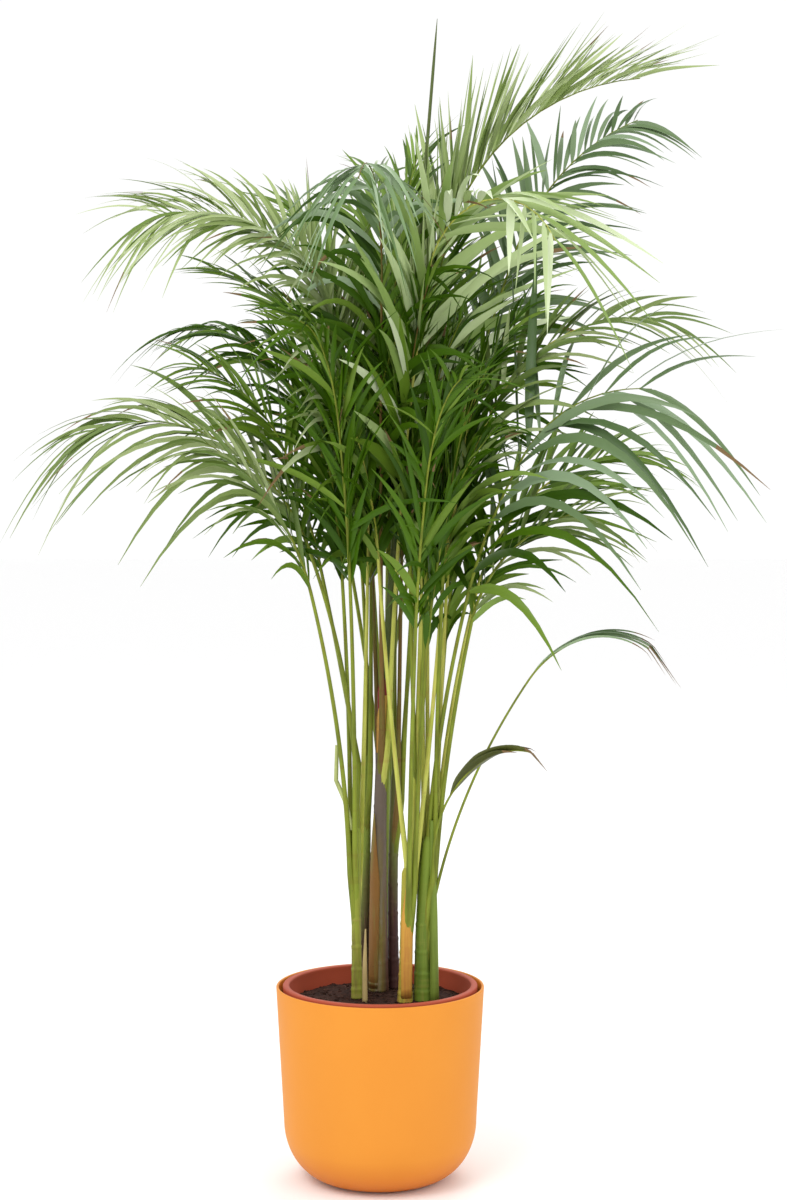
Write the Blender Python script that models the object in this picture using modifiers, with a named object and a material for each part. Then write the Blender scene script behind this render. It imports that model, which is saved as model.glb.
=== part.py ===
# Potted areca palm: a clump of seven canes in a nursery pot, which stands in a cover pot.
# Metres, +Z up. The origin is the middle of the cover pot's flat underside, +X is to the right and
# -Y is the side that faces the viewer.
from collections import namedtuple

import bpy
import numpy as np
from mathutils import kdtree

PART = "potted_areca_palm"
GAP = 0.0004  # left between pieces that touch
MERGE = 0.00005  # a turned profile's ends on the axis become one point within this

# Cover pot
POT_HEIGHT = 0.215
POT_RIM_RADIUS = 0.1153
POT_WAIST_RADIUS = 0.1070  # where the straight side meets the rounded foot
POT_WAIST_HEIGHT = 0.065
POT_FOOT_RADIUS = 0.0540  # flat underside
POT_WALL = 0.0030
POT_FLOOR = 0.0050
LIP_ROUND = 0.0012

# Nursery pot inside it
NURSERY_TOP = 0.2165
NURSERY_BOTTOM = 0.0240
NURSERY_RIM_RADIUS = 0.1080
NURSERY_RIM_HEIGHT = 0.0120
NURSERY_TOP_RADIUS = 0.1010  # wall just under the rim band
NURSERY_BOTTOM_RADIUS = 0.0700
NURSERY_WALL = 0.0020
NURSERY_RIM_WALL = 0.0075  # the rolled rim is this wide

# Soil
SOIL_TOP = 0.200  # flat middle, where the canes stand
SOIL_EDGE = 0.1965
SOIL_FLAT_RADIUS = 0.0880
ROUND_SEGMENTS = 44
CORNER_STEPS = 6

# Canes: foot (x, y) on the soil, top (x, y, z), radii, and how far the middle bows sideways
Cane = namedtuple("Cane", "foot top foot_radius top_radius bow")
CANES = {
    "left": Cane((-0.0255, 0.000), (-0.0255, 0.004, 0.395), 0.0058, 0.0045, -0.001),
    "back_left": Cane((-0.0195, 0.052), (-0.0155, 0.040, 0.475), 0.0062, 0.0048, 0.001),
    "main": Cane((-0.0020, 0.040), (0.0045, 0.030, 0.555), 0.0105, 0.0048, -0.002),
    "dark": Cane((0.0150, 0.052), (0.0175, 0.047, 0.455), 0.0062, 0.0050, -0.002),
    "yellow": Cane((0.0275, -0.018), (0.0295, -0.018, 0.352), 0.0075, 0.0055, 0.000),
    "green": Cane((0.0475, -0.010), (0.0535, -0.008, 0.385), 0.0095, 0.0060, -0.003),
    "back": Cane((0.0010, 0.078), (0.0050, 0.080, 0.480), 0.0070, 0.0050, 0.002),
}
CANE_POINTS = 6
CANE_FLARE = 0.0012  # a cane's foot is this much wider, over its lowest part
FLARE_POWER = 8
ROUND_LIMB = 2  # bevel resolution of a limb
THIN_LIMB = 1

# Fronds. heading: 0 is right and 90 away from the viewer. height: where the petiole leaves the cane.
# leans: degrees from upright at the petiole's foot and neck, and at half and the end of the blade.
# sweep: degrees between leaflet and rachis at the neck. reach: longest leaflet. lift: rise of the
# leaflets out of the blade's plane. roll: turn of the blade about its rachis, which raises its far
# side. droop: how far the leaflets' tips hang.
# The fronds that show most come first, because a blade gives way to those made before it.
Frond = namedtuple("Frond", "cane heading height petiole blade leans sweep reach lift roll droop")
FRONDS = {
    "top_right": Frond("dark", 350, 0.456, 0.330, 0.55, (-2, 5, 18, 88), 42, 0.21, 25, 18, 0.05),
    "top_left": Frond("back_left", 190, 0.476, 0.200, 0.52, (-1, 4, 9, 104), 45, 0.20, 15, 40, 0.35),
    "wide_right": Frond("green", 345, 0.386, 0.265, 0.33, (5, 14, 30, 96), 58, 0.24, 5, 50, 0.50),
    "far_left": Frond("left", 180, 0.396, 0.310, 0.30, (0, 20, 58, 112), 48, 0.20, 0, 30, 0.65),
    "front_top": Frond("main", 262, 0.520, 0.245, 0.47, (4, 0, -4, 130), 50, 0.20, -35, 0, 0.60),
    "front_right": Frond("main", 318, 0.510, 0.260, 0.46, (3, 6, 12, 152), 50, 0.20, -15, 0, 0.50),
    "back_right": Frond("back", 25, 0.481, 0.320, 0.50, (4, 22, 20, 68), 55, 0.17, 0, 45, 0.30),
    "mid_right": Frond("yellow", 10, 0.345, 0.315, 0.43, (7, 4, 30, 98), 50, 0.18, 5, 45, 0.45),
    "low_left": Frond("left", 208, 0.355, 0.300, 0.21, (3, 15, 36, 62), 42, 0.18, 0, 45, 0.45),
    "right": Frond("green", 28, 0.380, 0.270, 0.29, (5, 16, 54, 92), 48, 0.165, 5, 40, 0.30),
    "mid_left": Frond("back_left", 172, 0.455, 0.220, 0.28, (10, 12, 22, 68), 45, 0.18, 5, 35, 0.35),
    "upper_left": Frond("yellow", 168, 0.353, 0.330, 0.39, (7, 4, 21, 72), 38, 0.16, 5, 25, 0.20),
    "low_right": Frond("green", 356, 0.335, 0.285, 0.20, (4, 12, 48, 82), 50, 0.17, 0, 40, 0.35),
    "crown_left": Frond("main", 125, 0.500, 0.215, 0.43, (3, 5, 14, 62), 44, 0.19, 5, 10, 0.15),
    "front_left": Frond("left", 256, 0.383, 0.275, 0.37, (0, 8, 22, 90), 40, 0.17, 5, 20, 0.45),
    "front_low": Frond("yellow", 285, 0.340, 0.270, 0.34, (3, 8, 22, 80), 32, 0.14, 10, 0, 0.40),
    "back_top": Frond("dark", 100, 0.440, 0.300, 0.44, (0, 3, 8, 60), 42, 0.18, 5, 0, 0.20),
    "back_low": Frond("back", 105, 0.440, 0.220, 0.36, (8, 15, 35, 110), 45, 0.18, 10, 0, 0.50),
    "back_left_low": Frond("back", 150, 0.465, 0.230, 0.38, (8, 12, 30, 95), 45, 0.18, 10, 15, 0.45),
    "back_mid": Frond("back", 58, 0.450, 0.290, 0.44, (3, 6, 16, 75), 42, 0.19, 10, 10, 0.25),
    "right_back": Frond("dark", 45, 0.425, 0.275, 0.42, (4, 10, 20, 75), 42, 0.17, 10, 15, 0.25),
    "young_right": Frond("green", 350, 0.310, 0.270, 0.15, (12, 34, 71, 124), 20, 0.06, 5, 30, 0.30),
    "young_low": Frond("green", 318, 0.350, 0.085, 0.13, (-2, 36, 60, 96), 20, 0.04, 0, 20, 0.20),
}
FACING = -0.1  # a frond that heads further left than this rolls the other way
STEPS = 24  # steps along a petiole, and along a blade, in which its path is worked out
PETIOLE_POINTS = 6
PETIOLE_FOOT_RADIUS = 0.0032
PETIOLE_NECK_RADIUS = 0.0022
YOUNG_PETIOLE_SHARE = 0.6  # the two young leaves have thinner stalks

# Blades
BLADE_THICKNESS = 0.0028
BLADE_ROWS = 9
BLADE_COLUMNS = 5
BLADE_START = 0.012  # share of the blade left open at the neck, so that it clears its petiole
TIP_SWEEP = 16  # degrees between leaflet and rachis at the end of a blade
SWEEP_EASE = 0.75
LEAFLET_BASE = 0.80  # leaflet length at the neck and the end, as a share of the frond's reach
LEAFLET_SWELL = 0.20  # added where the leaflets are longest
LEAFLET_LOSS = 0.35  # taken off toward the end
ROLL_SLACK = 0.45  # on a rolled blade the low side's leaflets hang more, and the high side's less
FINE = 0.125  # spacing, as a share of a leaflet, at which a blade's room is tested
FINE_ROWS = 5  # rows tested for each row of the blade
LIMB_SPACING = 0.006  # between the points that stand for a limb in that test
SHEET_SPACING = 0.007  # and for a blade
SHEET_LINES = 7
CLEARANCE = 0.0135  # kept between a blade's surface and everything made before it
LEAST_SHARE = 0.018  # of a leaflet, for a blade's half width where it has no room

# Unopened spear leaf, from the top of the main cane
SPEAR_LENGTH = 0.728
SPEAR_LEAN = 4.6
SPEAR_RADII = (0.0030, 0.0011)
SPEAR_POINTS = 5

COLOURS = {
    "cover_pot": (0.93, 0.40, 0.075),
    "nursery_pot": (0.40, 0.09, 0.045),
    "soil": (0.055, 0.030, 0.020),
    "cane_left": (0.30, 0.30, 0.05),
    "cane_back_left": (0.10, 0.07, 0.03),
    "cane_main": (0.24, 0.23, 0.13),
    "cane_dark": (0.07, 0.04, 0.03),
    "cane_yellow": (0.40, 0.36, 0.06),
    "cane_green": (0.13, 0.20, 0.04),
    "cane_back": (0.16, 0.20, 0.05),
    "petiole": (0.28, 0.33, 0.05),
    "blade": (0.05, 0.16, 0.03),
    "spear_leaf": (0.08, 0.14, 0.04),
}
ROUGHNESS = {"cover_pot": 0.55, "nursery_pot": 0.6, "soil": 0.95}


def clear_scene():
    """Remove whatever the file holds."""
    for thing in list(bpy.data.objects):
        bpy.data.objects.remove(thing, do_unlink=True)


def part_collection():
    """The collection that the part's pieces go in."""
    made = bpy.data.collections.new(PART)
    bpy.context.scene.collection.children.link(made)
    return made


def material(name, kind):
    """A plain surface of the piece's own colour."""
    made = bpy.data.materials.new(name)
    made.use_nodes = True
    shader = made.node_tree.nodes["Principled BSDF"]
    shader.inputs["Base Color"].default_value = (*COLOURS[kind], 1.0)
    shader.inputs["Roughness"].default_value = ROUGHNESS.get(kind, 0.5)
    shader.inputs["Metallic"].default_value = 0.0
    return made


def add_piece(collection, name, data, kind):
    """Put finished mesh or curve data in the scene as one named piece."""
    piece = bpy.data.objects.new(name, data)
    data.materials.append(material(name, kind))
    collection.objects.link(piece)
    return piece


def turned(collection, name, profile):
    """A profile of (radius, height) points from axis to axis, turned about the upright axis."""
    mesh = bpy.data.meshes.new(name)
    edges = [(i, i + 1) for i in range(len(profile) - 1)]
    mesh.from_pydata([(r, 0, z) for r, z in profile], edges, [])
    piece = add_piece(collection, name, mesh, name)
    screw = piece.modifiers.new("turn", "SCREW")
    screw.axis = "Z"
    screw.steps = ROUND_SEGMENTS
    screw.render_steps = ROUND_SEGMENTS
    screw.use_merge_vertices = True
    screw.merge_threshold = MERGE
    screw.use_smooth_shade = True
    return piece


def foot_corner(foot_radius, waist_radius, bottom, waist_height):
    """Points of the rounded foot, from the waist down to the flat underside."""
    turn = np.linspace(0, np.pi / 2, CORNER_STEPS + 1)[1:]
    radii = foot_radius + (waist_radius - foot_radius) * np.cos(turn)
    heights = waist_height - (waist_height - bottom) * np.sin(turn)
    return [(float(r), float(z)) for r, z in zip(radii, heights)]


def make_cover_pot(collection):
    """Thin-walled pot with a straight side that leans in, and a wide rounded foot."""
    outside = [
        (POT_RIM_RADIUS - LIP_ROUND, POT_HEIGHT),
        (POT_RIM_RADIUS, POT_HEIGHT - LIP_ROUND),
        (POT_WAIST_RADIUS, POT_WAIST_HEIGHT),
    ]
    outside += foot_corner(POT_FOOT_RADIUS, POT_WAIST_RADIUS, 0.0, POT_WAIST_HEIGHT)
    inner_waist = POT_WAIST_RADIUS - POT_WALL
    inside = [
        (POT_RIM_RADIUS - POT_WALL, POT_HEIGHT - LIP_ROUND),
        (inner_waist, POT_WAIST_HEIGHT),
    ]
    inside += foot_corner(POT_FOOT_RADIUS, inner_waist, POT_FLOOR, POT_WAIST_HEIGHT)
    profile = [(0.0, POT_FLOOR)] + inside[::-1] + outside + [(0.0, 0.0)]
    return turned(collection, "cover_pot", profile)


def make_nursery_pot(collection):
    """Plain tapered grower's pot with a rolled rim, standing inside the cover pot."""
    rim_foot = NURSERY_TOP - NURSERY_RIM_HEIGHT
    profile = [
        (0.0, NURSERY_BOTTOM + NURSERY_WALL),
        (NURSERY_BOTTOM_RADIUS - NURSERY_WALL, NURSERY_BOTTOM + NURSERY_WALL),
        (NURSERY_TOP_RADIUS - NURSERY_WALL, rim_foot),
        (NURSERY_RIM_RADIUS - NURSERY_RIM_WALL, NURSERY_TOP - LIP_ROUND),
        (NURSERY_RIM_RADIUS - NURSERY_RIM_WALL + LIP_ROUND, NURSERY_TOP),
        (NURSERY_RIM_RADIUS - LIP_ROUND, NURSERY_TOP),
        (NURSERY_RIM_RADIUS, NURSERY_TOP - LIP_ROUND),
        (NURSERY_RIM_RADIUS, rim_foot),
        (NURSERY_TOP_RADIUS, rim_foot - GAP),
        (NURSERY_BOTTOM_RADIUS, NURSERY_BOTTOM),
        (0.0, NURSERY_BOTTOM),
    ]
    return turned(collection, "nursery_pot", profile)


def nursery_inside(height):
    """Inner radius of the nursery pot at a height below its rim."""
    low = NURSERY_BOTTOM + NURSERY_WALL
    high = NURSERY_TOP - NURSERY_RIM_HEIGHT
    share = (height - low) / (high - low)
    bottom = NURSERY_BOTTOM_RADIUS - NURSERY_WALL
    return bottom + (NURSERY_TOP_RADIUS - NURSERY_WALL - bottom) * share


def make_soil(collection):
    """Root ball that fills the nursery pot, with a flat top that falls away at the wall."""
    bottom = NURSERY_BOTTOM + NURSERY_WALL + GAP
    profile = [
        (0.0, SOIL_TOP),
        (SOIL_FLAT_RADIUS, SOIL_TOP),
        (nursery_inside(SOIL_EDGE) - 2 * GAP, SOIL_EDGE),
        (nursery_inside(bottom) - 2 * GAP, bottom),
        (0.0, bottom),
    ]
    return turned(collection, "soil", profile)


def cane_point(cane, share):
    """Place on a cane's axis at a share of its height."""
    foot = np.array([*cane.foot, SOIL_TOP + GAP])
    bow = np.array([cane.bow * np.sin(np.pi * share), 0.0, 0.0])
    return foot + (np.array(cane.top) - foot) * share + bow


def cane_radius(cane, share):
    """Radius of a cane at a share of its height, wider at its foot."""
    flare = CANE_FLARE * (1 - share) ** FLARE_POWER
    return cane.foot_radius + (cane.top_radius - cane.foot_radius) * share + flare


def tube(collection, name, points, radii, kind, roundness=ROUND_LIMB):
    """A limb: a curve through the points, with its own radius at each, and filled ends."""
    curve = bpy.data.curves.new(name, "CURVE")
    curve.dimensions = "3D"
    curve.bevel_depth = 1.0
    curve.bevel_resolution = roundness
    curve.use_fill_caps = True
    spline = curve.splines.new("POLY")
    spline.points.add(len(points) - 1)
    for knot, place, radius in zip(spline.points, points, radii):
        knot.co = (*[float(v) for v in place], 1.0)
        knot.radius = float(radius)
    spline.use_smooth = True
    return add_piece(collection, name, curve, kind)


def make_canes(collection):
    """Seven canes, each with a flat cut at the soil, its own lean and its taper."""
    for name, cane in CANES.items():
        shares = np.linspace(0, 1, CANE_POINTS)
        points = [cane_point(cane, s) for s in shares]
        radii = [cane_radius(cane, s) for s in shares]
        tube(collection, "cane_" + name, points, radii, "cane_" + name)


def direction(lean, heading):
    """Unit way that leans from upright toward a heading, both in degrees."""
    lean, heading = np.radians(lean), np.radians(heading)
    level = np.sin(lean)
    return np.stack([level * np.cos(heading), level * np.sin(heading), np.cos(lean)], -1)


def frond_foot(frond):
    """Where a petiole starts: on top of its cane, or beside it lower down."""
    cane = CANES[frond.cane]
    share = (frond.height - SOIL_TOP) / (cane.top[2] - SOIL_TOP)
    foot = np.array([*cane_point(cane, min(share, 1.0))[:2], frond.height + GAP])
    if frond.height < cane.top[2]:
        out = cane_radius(cane, share) + PETIOLE_FOOT_RADIUS + 2 * GAP
        foot = foot + out * direction(90, frond.heading)
    return foot


def frond_path(frond):
    """STEPS moves along the petiole and STEPS along the rachis, from the foot."""
    share = np.linspace(0, 1, STEPS + 1)
    foot_lean, neck_lean, half_lean, tip_lean = frond.leans
    petiole = foot_lean + (neck_lean - foot_lean) * share
    blade = np.interp(share, [0, 0.5, 1], [neck_lean, half_lean, tip_lean])
    leans = np.concatenate([petiole, blade[1:]])
    lengths = np.repeat([frond.petiole / STEPS, frond.blade / STEPS], STEPS)
    moves = direction((leans[1:] + leans[:-1]) / 2, frond.heading) * lengths[:, None]
    foot = frond_foot(frond)
    return np.concatenate([[foot], foot + np.cumsum(moves, 0)])


def blade_axes(frond, path, share):
    """Place on the rachis at a share of the blade, with the ways along, across and up from it."""
    blade = path[STEPS:]
    step = min(int(share * STEPS), STEPS - 1)
    move = blade[step + 1] - blade[step]
    root = blade[step] + move * (share * STEPS - step)
    along = move / np.linalg.norm(move)
    heading = np.radians(frond.heading)
    across = np.array([-np.sin(heading), np.cos(heading), 0.0])
    up = np.cross(along, across)
    if np.cos(heading) < FACING:
        across = -across
    roll = np.radians(frond.roll)
    turned_across = np.cos(roll) * across + np.sin(roll) * up
    turned_up = np.cos(roll) * up - np.sin(roll) * across
    return root, along, turned_across, turned_up


def leaflet_length(frond, share):
    """Leaflets are longest a third of the way along the blade and shorter toward its end."""
    swell = LEAFLET_BASE + LEAFLET_SWELL * np.sin(np.pi * min(1.0, share * 1.25 + 0.1))
    return frond.reach * swell * (1 - LEAFLET_LOSS * share**3)


def leaflet_point(frond, path, share, side):
    """Point at |side| (0 to 1) of the leaflet that leaves the rachis at a share of the blade."""
    root, along, across, up = blade_axes(frond, path, share)
    sweep = np.radians(frond.sweep + (TIP_SWEEP - frond.sweep) * share**SWEEP_EASE)
    lift = np.radians(frond.lift)
    out = np.cos(lift) * across * np.sign(side) + np.sin(lift) * up
    way = np.cos(sweep) * along + np.sin(sweep) * out
    length = leaflet_length(frond, share)
    slack = 1 - ROLL_SLACK * np.sign(side) * np.sin(np.radians(frond.roll))
    hang = np.array([0.0, 0.0, -length * frond.droop * slack * side * side])
    return root + way * length * abs(side) + hang


def fine_grid(frond, path):
    """The blade's surface at full width: points by row and by share of a leaflet, -1 to 1."""
    rows = np.linspace(BLADE_START, 1, BLADE_ROWS)
    sides = np.arange(-1, 1 + FINE / 2, FINE)
    coarse = np.array([[leaflet_point(frond, path, r, s) for s in sides] for r in rows])
    between = np.linspace(0, BLADE_ROWS - 1, FINE_ROWS * (BLADE_ROWS - 1) + 1)
    low = np.minimum(between.astype(int), BLADE_ROWS - 2)
    part = (between - low)[:, None, None]
    return coarse, between, coarse[low] * (1 - part) + coarse[low + 1] * part


def room(surface, between, taken):
    """For each row and side, the share of a leaflet that stays clear of what is there already."""
    middle = surface.shape[1] // 2
    free = np.ones((BLADE_ROWS, 2))
    for line, place in zip(surface, between):
        for side, way in enumerate((-1, 1)):
            reach = 1.0
            for step in range(1, middle + 1):
                if taken.find(line[middle + way * step])[2] < CLEARANCE:
                    reach = (step - 1) * FINE
                    break
            near = [int(np.floor(place)), int(np.ceil(place))]
            for row in near:
                free[row, side] = min(free[row, side], max(reach, LEAST_SHARE))
    return free


def samples_along(points, spacing=LIMB_SPACING):
    """Points at a near-even spacing along a path."""
    lengths = np.concatenate([[0], np.cumsum(np.linalg.norm(np.diff(points, axis=0), axis=1))])
    places = np.linspace(0, lengths[-1], max(2, int(lengths[-1] / spacing)))
    return np.stack([np.interp(places, lengths, points[:, axis]) for axis in range(3)], 1)


def tree_of(points):
    """A search tree over the points."""
    tree = kdtree.KDTree(len(points))
    for index, point in enumerate(points):
        tree.insert(point, index)
    tree.balance()
    return tree


def row_points(line, widths):
    """The points of one row of a blade, at even shares of its own two half widths."""
    sides = np.linspace(-1, 1, len(line))
    shares = np.linspace(-1, 1, BLADE_COLUMNS)
    places = [s * (widths[0] if s < 0 else widths[1]) for s in shares]
    return np.stack([np.interp(places, sides, line[:, axis]) for axis in range(3)], 1)


def make_blade(collection, name, frond, path, taken):
    """A thin sheet of the blade's outline, as wide as the pieces made before leave room for."""
    coarse, between, surface = fine_grid(frond, path)
    free = room(surface, between, taken)
    rows = np.array([row_points(line, widths) for line, widths in zip(coarse, free)])
    cuts = {"x_subdivisions": BLADE_ROWS - 1, "y_subdivisions": BLADE_COLUMNS - 1}
    bpy.ops.mesh.primitive_grid_add(size=2, **cuts)
    piece = bpy.context.object
    for vertex in piece.data.vertices:
        row = round((vertex.co.x + 1) / 2 * (BLADE_ROWS - 1))
        column = round((vertex.co.y + 1) / 2 * (BLADE_COLUMNS - 1))
        vertex.co = rows[row, column]
    piece.name = piece.data.name = name
    piece.data.materials.append(material(name, "blade"))
    for held in list(piece.users_collection):
        held.objects.unlink(piece)
    collection.objects.link(piece)
    thick = piece.modifiers.new("thickness", "SOLIDIFY")
    thick.thickness = BLADE_THICKNESS
    thick.offset = 0.0
    return sheet_samples(rows)


def sheet_samples(rows):
    """Points spread over a finished blade."""
    found = []
    for low, high in zip(rows[:-1], rows[1:]):
        for share in np.linspace(0, 1, SHEET_LINES):
            found.append(samples_along(low + (high - low) * share, SHEET_SPACING))
    return np.concatenate(found)


def petiole_radii(name):
    """Radii from the foot of a petiole to its neck."""
    scale = YOUNG_PETIOLE_SHARE if name.startswith("young") else 1.0
    return np.linspace(PETIOLE_FOOT_RADIUS, PETIOLE_NECK_RADIUS, PETIOLE_POINTS) * scale


def make_petioles(collection, paths):
    """One tapering limb for each frond, from its cane to the neck of its blade."""
    for name, path in paths.items():
        picks = np.linspace(0, STEPS, PETIOLE_POINTS).round().astype(int)
        tube(collection, "petiole_" + name, path[picks], petiole_radii(name), "petiole")


def spear_points():
    """Straight line of the unopened leaf, from the top of the main cane."""
    foot = np.array(CANES["main"].top) + np.array([0.0, 0.0, 2 * GAP])
    way = direction(SPEAR_LEAN, 0)
    return np.array([foot + way * SPEAR_LENGTH * s for s in np.linspace(0, 1, SPEAR_POINTS)])


def make_spear(collection):
    """The unopened leaf that stands up out of the crown."""
    radii = np.linspace(*SPEAR_RADII, SPEAR_POINTS)
    tube(collection, "spear_leaf", spear_points(), radii, "spear_leaf", THIN_LIMB)


def make_blades(collection, paths):
    """Every blade in turn, each clear of all limbs and of the blades before it."""
    limbs = [samples_along(np.array([cane_point(c, s) for s in (0, 0.5, 1)])) for c in CANES.values()]
    limbs.append(samples_along(spear_points()))
    stalks = {name: samples_along(path) for name, path in paths.items()}
    sheets = []
    for name, frond in FRONDS.items():
        others = [points for other, points in stalks.items() if other != name]
        taken = tree_of(np.concatenate(limbs + others + sheets))
        sheets.append(make_blade(collection, "blade_" + name, frond, paths[name], taken))


def main():
    clear_scene()
    collection = part_collection()
    make_cover_pot(collection)
    make_nursery_pot(collection)
    make_soil(collection)
    make_canes(collection)
    make_spear(collection)
    paths = {name: frond_path(frond) for name, frond in FRONDS.items()}
    make_petioles(collection, paths)
    make_blades(collection, paths)


main()
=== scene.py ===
"""Looks of the potted areca palm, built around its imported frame. Metres, +Z up, -Y faces the viewer."""

from collections import namedtuple

import bpy
import numpy as np
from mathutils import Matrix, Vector


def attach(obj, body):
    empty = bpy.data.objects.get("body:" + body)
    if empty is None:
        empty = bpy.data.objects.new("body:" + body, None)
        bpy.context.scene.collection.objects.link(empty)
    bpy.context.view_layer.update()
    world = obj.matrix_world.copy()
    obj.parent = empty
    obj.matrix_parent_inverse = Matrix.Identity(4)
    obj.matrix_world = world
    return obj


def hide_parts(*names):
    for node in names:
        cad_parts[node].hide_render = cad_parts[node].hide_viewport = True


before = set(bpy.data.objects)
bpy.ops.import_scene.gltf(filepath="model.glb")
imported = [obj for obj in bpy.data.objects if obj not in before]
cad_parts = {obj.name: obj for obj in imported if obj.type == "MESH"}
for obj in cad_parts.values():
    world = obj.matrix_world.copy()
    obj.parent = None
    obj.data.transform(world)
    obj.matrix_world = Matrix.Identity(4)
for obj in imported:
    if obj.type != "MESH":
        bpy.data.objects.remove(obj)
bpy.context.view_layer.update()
RNG = np.random.default_rng(7)
BODY = "root"

# Stage
ROOM_LIGHT = 1.02
FLOOR_SIZE = 40.0
FLOOR_COLOUR = (0.97, 0.97, 0.97)
# Area lights: place, height of the point each faces, side and power
LIGHTS = {
    "key": ((-1.4, -2.0, 3.0), 0.7, 1.6, 42),
    "fill": ((2.2, -1.8, 1.8), 0.7, 1.6, 12),
    "back": ((0.6, 2.4, 2.6), 0.8, 1.6, 20),
}

# Camera
CAMERA_PLACE = (0.0148, -2.5, 0.7735)
CAMERA_TILT = 87.0  # degrees from straight down
CAMERA_LENS = 68.25

# Pots, as in the frame
POT_HEIGHT = 0.215
POT_RIM_RADIUS = 0.1153
POT_WAIST_RADIUS = 0.1070
POT_WAIST_HEIGHT = 0.065
POT_FOOT_RADIUS = 0.0540
POT_WALL = 0.0030
POT_FLOOR = 0.0050
POT_TURNS = 128
NURSERY_TOP = 0.2165
NURSERY_RIM_RADIUS = 0.1080
NURSERY_RIM_WALL = 0.0075
NURSERY_RIM_HEIGHT = 0.0120
NURSERY_TOP_RADIUS = 0.1010
NURSERY_BOTTOM = 0.0240
NURSERY_BOTTOM_RADIUS = 0.0700
NURSERY_WALL = 0.0020
SOIL_TOP = 0.200
SOIL_RADIUS = 0.0975
SOIL_RINGS = 26
SOIL_TURNS = 96
SOIL_GRAIN = 0.0003
SOIL_COLOURS = ((0.014, 0.006, 0.004), (0.090, 0.038, 0.026))
FIBRE_COLOUR = (0.260, 0.130, 0.080)
CRUMBS = 620
CRUMB_SIZES = (0.0008, 0.0026)
CRUMB_REACH = 0.985  # of the soil's radius
CRUMB_LUMPS = 0.25
COVER_COLOURS = ((0.735, 0.270, 0.024), (0.690, 0.240, 0.020))  # plain and worn
COVER_FOOT_PAINTED_SHADE = (0.86, 0.66, 0.55)  # painted shade: a deeper tone at the foot, whose underside faces down, as shares of the worn colour
# height up to which the cover pot's foot gets its painted shade
COVER_FOOT_PAINTED_SHADE_TOP = 0.045
NURSERY_COLOURS = ((0.440, 0.075, 0.032), (0.340, 0.055, 0.025))

# Canes: foot on the soil, top, radii and the bow of the middle, as in the frame
Cane = namedtuple("Cane", "foot top foot_radius top_radius bow")
CANES = {
    "left": Cane((-0.0255, 0.000), (-0.0255, 0.004, 0.395), 0.0058, 0.0045, -0.001),
    "back_left": Cane((-0.0195, 0.052), (-0.0155, 0.040, 0.475), 0.0062, 0.0048, 0.001),
    "main": Cane((-0.0020, 0.040), (0.0045, 0.030, 0.555), 0.0105, 0.0048, -0.002),
    "dark": Cane((0.0150, 0.052), (0.0175, 0.047, 0.455), 0.0062, 0.0050, -0.002),
    "yellow": Cane((0.0275, -0.018), (0.0295, -0.018, 0.352), 0.0075, 0.0055, 0.000),
    "green": Cane((0.0475, -0.010), (0.0535, -0.008, 0.385), 0.0095, 0.0060, -0.003),
    "back": Cane((0.0010, 0.078), (0.0050, 0.080, 0.480), 0.0070, 0.0050, 0.002),
}

CANE_ROWS = 150
CANE_SIDES = 20
CANE_FLARE = 0.0012  # how much wider a cane's foot is
SCAR_RIDGE = (0.00045, 0.0016)  # height and half width of the ridge at a leaf scar
SCAR_GROOVE = (0.00025, 0.0020)
SCAR_STEP = 0.004  # from the ridge up to its groove
SCARS_END = 0.62  # share of a cane that has scars

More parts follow.
